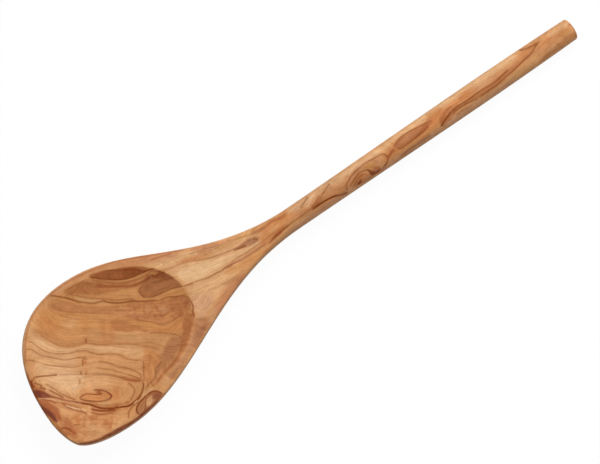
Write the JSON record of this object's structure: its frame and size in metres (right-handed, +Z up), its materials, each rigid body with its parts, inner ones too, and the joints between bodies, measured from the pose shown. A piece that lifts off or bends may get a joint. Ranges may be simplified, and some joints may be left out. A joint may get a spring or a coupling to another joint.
{
  "type": "wooden corner spoon",
  "caption": "Wooden stirring spoon carved in one piece: round handle, fanned neck and a flat head with a shallow hollow and a rounded corner that reaches into the angle of a pan.",
  "frame": {"origin": "middle of the spoon's footprint, on the table it lies on", "axes": "+X from the bowl to the end of the handle, +Z up out of the hollow, +Y to the side away from the rounded corner"},
  "size_m": [0.3, 0.0712, 0.0162],
  "materials": {
    "olive_wood": "sanded and oiled, satin, with strong wavy grain"
  },
  "bodies": {
    "root": {"carved_spoon": "olive_wood"}
  },
  "joints": []
}
